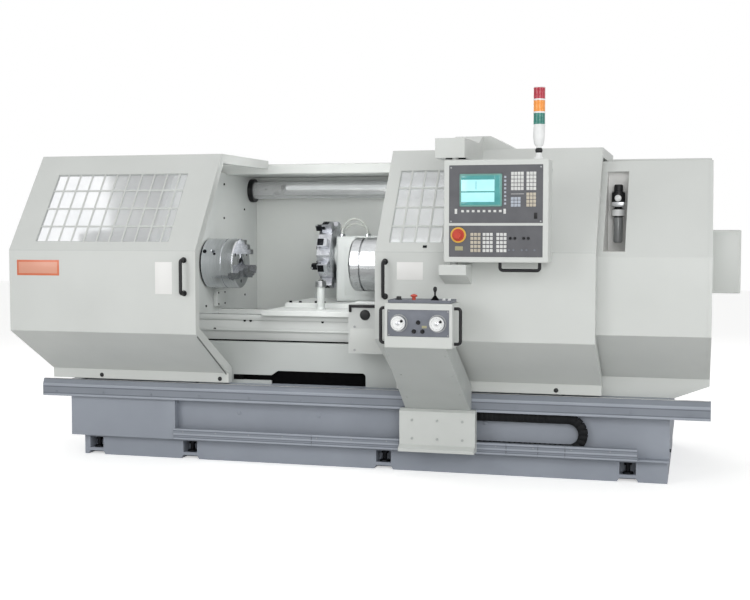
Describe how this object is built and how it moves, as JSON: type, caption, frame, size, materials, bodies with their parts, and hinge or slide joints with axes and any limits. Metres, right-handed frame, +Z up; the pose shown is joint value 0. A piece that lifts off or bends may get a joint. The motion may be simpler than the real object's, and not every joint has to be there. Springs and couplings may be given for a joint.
{
  "type": "cnc lathe",
  "caption": "Flat-bed CNC lathe with sliding doors on a front rail, swivelling control panel, sliding hand console, chuck, tool turret and tailstock.",
  "frame": {"origin": "on the floor, under the spindle axis, at the middle of the base's length", "axes": "+X along the spindle axis towards the tailstock, +Y away from the operator, +Z up"},
  "size_m": [3.926, 2.1003, 1.9973],
  "materials": {
    "cover_paint": "satin light warm grey powder coat",
    "shade_paint": "satin mid grey paint",
    "base_paint": "satin blue grey machine enamel",
    "steel": "ground steel",
    "chrome": "polished turned steel",
    "black_plastic": "matte black",
    "panel_grey": "dark grey front foil",
    "console_grey": "grey blue face plate",
    "glazing": "clear laminated glazing",
    "screen": "lit display",
    "red_plastic": "glossy red",
    "white_plastic": "glossy white",
    "hose_grey": "grey green hose"
  },
  "bodies": {
    "machine": {"plinth": "base_paint", "base_casting": "base_paint", "door_rail": "base_paint", "console_track": "base_paint", "cable_chain": "black_plastic", "bed": "cover_paint", "headstock": "shade_paint", "inner_left_wall": "cover_paint", "right_end_plate": "cover_paint", "right_cover": "cover_paint", "air_unit_tray": "cover_paint", "air_unit": "black_plastic", "left_rear_housing": "cover_paint", "back_wall": "cover_paint", "rear_roof": "cover_paint", "front_guard": "cover_paint", "end_box": "cover_paint", "lamp_holder_left": "black_plastic", "lamp_holder_right": "black_plastic", "work_lamp": "glazing"},
    "left_door": {"left_door_shell": "cover_paint", "left_door_window": "glazing", "left_door_handle": "black_plastic", "left_door_rollers": "steel"},
    "right_door": {"right_door_shell": "cover_paint", "right_door_window": "glazing", "right_door_handle": "black_plastic", "right_door_rollers": "steel", "panel_arm": "cover_paint", "panel_bracket": "cover_paint"},
    "panel": {"panel_housing": "cover_paint", "screen_panel": "panel_grey", "key_panel": "panel_grey", "screen": "screen", "emergency_stop": "red_plastic", "panel_handle": "black_plastic", "lamp_stack": "white_plastic"},
    "console": {"console_foot": "cover_paint", "console_column": "shade_paint", "console_box": "cover_paint", "console_tray": "console_grey", "console_handle_left": "black_plastic", "console_handle_right": "black_plastic"},
    "left_wheel": {"handwheel_left": "white_plastic"},
    "right_wheel": {"handwheel_right": "white_plastic"},
    "spindle": {"chuck": "chrome"},
    "jaw_1": {"chuck_jaw_1": "steel"},
    "jaw_2": {"chuck_jaw_2": "steel"},
    "jaw_3": {"chuck_jaw_3": "steel"},
    "carriage": {"saddle": "cover_paint", "apron": "cover_paint", "tool_probe": "steel"},
    "cross": {"cross_slide": "cover_paint", "turret_housing": "cover_paint", "coolant_hose_1": "hose_grey", "coolant_hose_2": "hose_grey"},
    "turret": {"tool_disc": "steel"},
    "tailstock_body": {"tailstock": "cover_paint", "tailstock_nose": "chrome"}
  },
  "joints": [
    {"name": "left_door_slide", "type": "slide", "parent": "machine", "child": "left_door", "axis": [1, 0, 0], "range_m": [0, 0.486]},
    {"name": "right_door_slide", "type": "slide", "parent": "machine", "child": "right_door", "axis": [1, 0, 0], "range_m": [-0.486, 0.54]},
    {"name": "panel_swivel", "type": "hinge", "parent": "right_door", "child": "panel", "pos_m": [0.69, -0.96, 1.41], "axis": [0, 0, 1], "range_deg": [-95, 0]},
    {"name": "console_slide", "type": "slide", "parent": "machine", "child": "console", "axis": [1, 0, 0], "range_m": [-1.3, 0.7]},
    {"name": "left_wheel_spin", "type": "hinge", "parent": "console", "child": "left_wheel", "pos_m": [0.452, -1.13, 0.875], "axis": [0, 1, 0], "continuous": true},
    {"name": "right_wheel_spin", "type": "hinge", "parent": "console", "child": "right_wheel", "pos_m": [0.642, -1.13, 0.875], "axis": [0, 1, 0], "continuous": true},
    {"name": "spindle_spin", "type": "hinge", "parent": "machine", "child": "spindle", "pos_m": [-0.9, 0, 1.12], "axis": [1, 0, 0], "continuous": true},
    {"name": "jaw_1_slide", "type": "slide", "parent": "spindle", "child": "jaw_1", "axis": [0, 0, 1], "range_m": [-0.015, 0.01]},
    {"name": "jaw_2_slide", "type": "slide", "parent": "spindle", "child": "jaw_2", "axis": [0, 0.866, -0.5], "range_m": [-0.015, 0.01]},
    {"name": "jaw_3_slide", "type": "slide", "parent": "spindle", "child": "jaw_3", "axis": [0, -0.866, -0.5], "range_m": [-0.015, 0.01]},
    {"name": "saddle_slide", "type": "slide", "parent": "machine", "child": "carriage", "axis": [1, 0, 0], "range_m": [-0.33, 0.12]},
    {"name": "cross_slide", "type": "slide", "parent": "carriage", "child": "cross", "axis": [0, 1, 0], "range_m": [0, 0.15]},
    {"name": "turret_index", "type": "hinge", "parent": "cross", "child": "turret", "pos_m": [-0.305, 0.25, 1.17], "axis": [1, 0, 0], "continuous": true},
    {"name": "tailstock_slide", "type": "slide", "parent": "machine", "child": "tailstock_body", "axis": [1, 0, 0], "range_m": [0, 0.55]}
  ],
  "couplings": [
    {"joint": "jaw_2_slide", "follows": "jaw_1_slide", "ratio": 1},
    {"joint": "jaw_3_slide", "follows": "jaw_1_slide", "ratio": 1}
  ]
}
